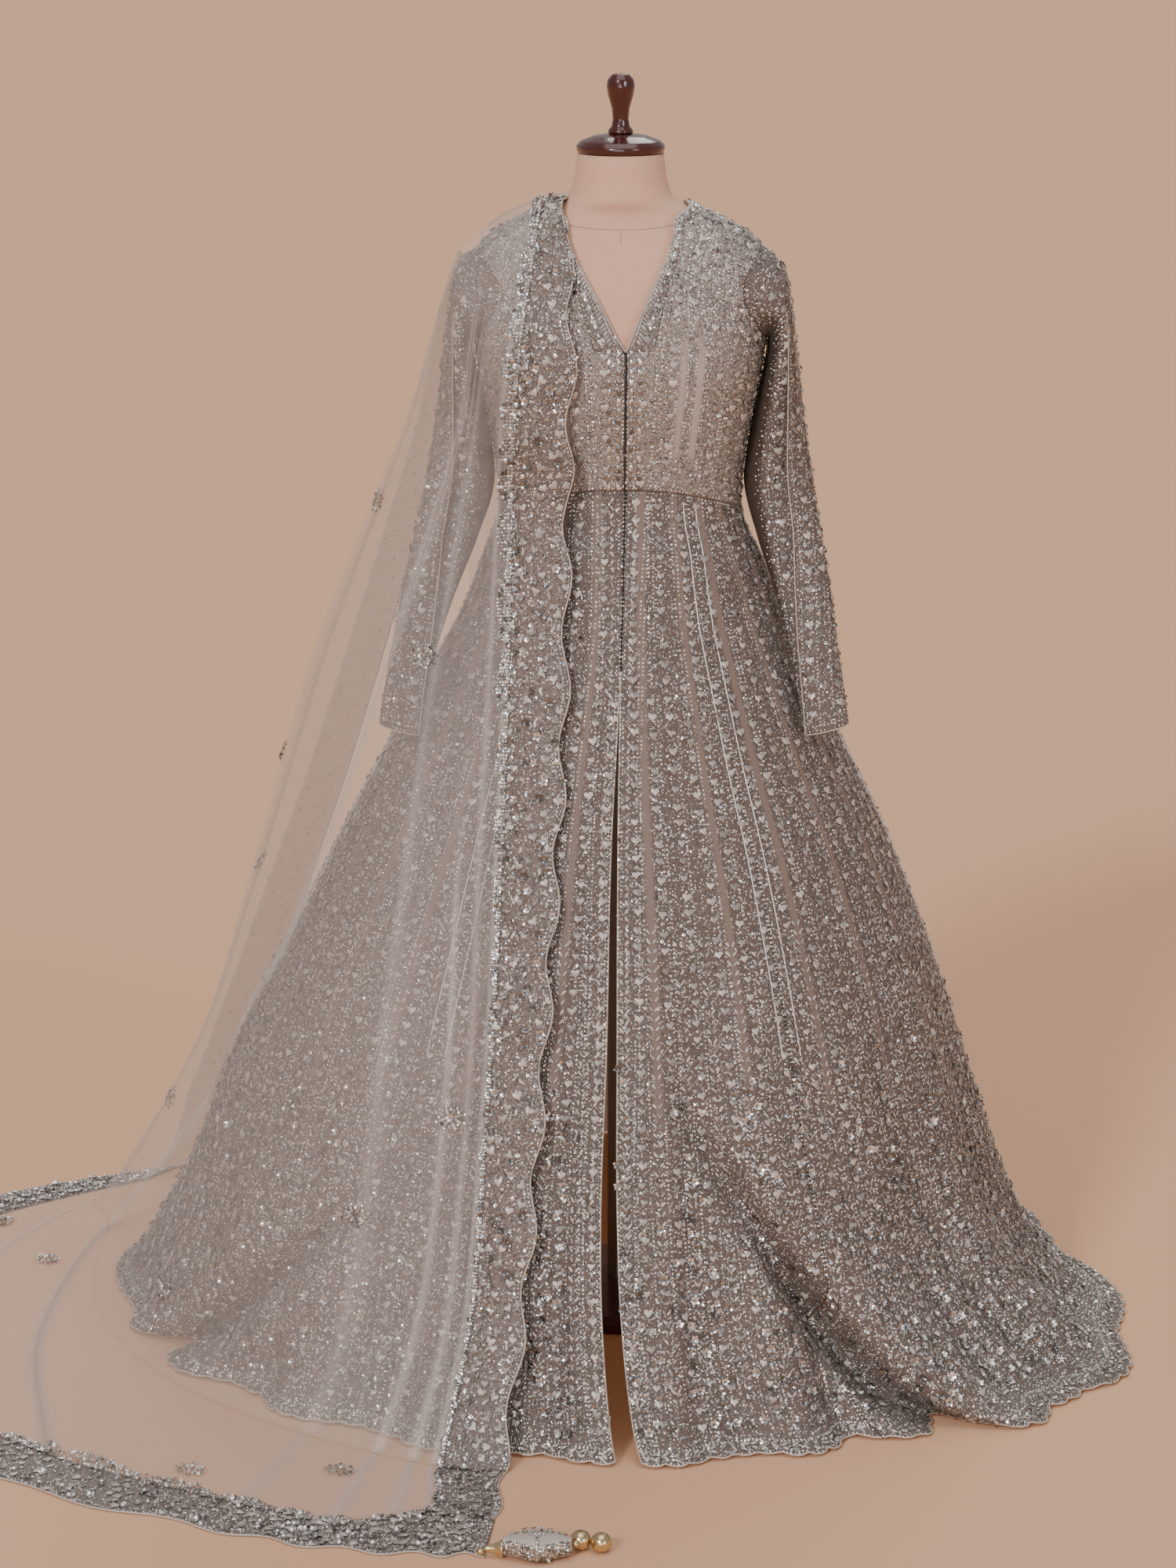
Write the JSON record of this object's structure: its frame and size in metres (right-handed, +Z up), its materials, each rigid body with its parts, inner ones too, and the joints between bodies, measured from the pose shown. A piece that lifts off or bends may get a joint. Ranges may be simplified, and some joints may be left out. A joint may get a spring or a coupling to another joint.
{
  "type": "lehenga gown with dupatta on a dress form",
  "caption": "Floor-length flared gown of embroidered net with long sleeves, a V neck and a front slit, with a sheer bordered dupatta over one shoulder, standing on a limbless dress form.",
  "frame": {"origin": "middle of the underside of the dress form's stand foot, on the floor", "axes": "+Z up, -Y towards the front of the gown, +X towards the wearer's left"},
  "size_m": [1.7726, 1.54, 1.625],
  "materials": {
    "embroidered_net": "greige net covered with silver and champagne sequins and beads",
    "net": "sheer grey-lilac net with scattered flowers",
    "form_cover": "pinkish beige jersey",
    "dark_wood": "glossy dark mahogany",
    "steel": "satin steel",
    "gilt": "pale gold metal beads"
  },
  "bodies": {
    "root": {"bodice_back": "embroidered_net", "bodice_front_left": "embroidered_net", "bodice_front_right": "embroidered_net", "dupatta_border": "embroidered_net", "dupatta_border_back": "embroidered_net", "dupatta_border_end": "embroidered_net", "dupatta_border_far": "embroidered_net", "dupatta_border_far_floor": "embroidered_net", "dupatta_border_floor": "embroidered_net", "dupatta_net_back": "net", "dupatta_net_front": "net", "dupatta_net_front_floor": "net", "dupatta_net_side": "net", "dupatta_net_side_floor": "net", "finial": "dark_wood", "form_torso": "form_cover", "kali_back_left": "embroidered_net", "kali_back_right": "embroidered_net", "kali_front_left": "embroidered_net", "kali_front_right": "embroidered_net", "kali_left_1": "embroidered_net", "kali_left_2": "embroidered_net", "kali_left_3": "embroidered_net", "kali_left_4": "embroidered_net", "kali_right_1": "embroidered_net", "kali_right_2": "embroidered_net", "kali_right_3": "embroidered_net", "kali_right_4": "embroidered_net", "neck_cap": "dark_wood", "neckband_back": "embroidered_net", "neckband_left": "embroidered_net", "neckband_right": "embroidered_net", "sleeve_left": "embroidered_net", "sleeve_right": "embroidered_net", "stand_foot": "dark_wood", "stand_pole": "steel", "tassel_ball_1": "gilt", "tassel_ball_2": "gilt", "tassel_bead_1": "gilt", "tassel_bead_2": "gilt", "tassel_cone": "gilt", "tassel_puff": "embroidered_net"}
  },
  "joints": []
}
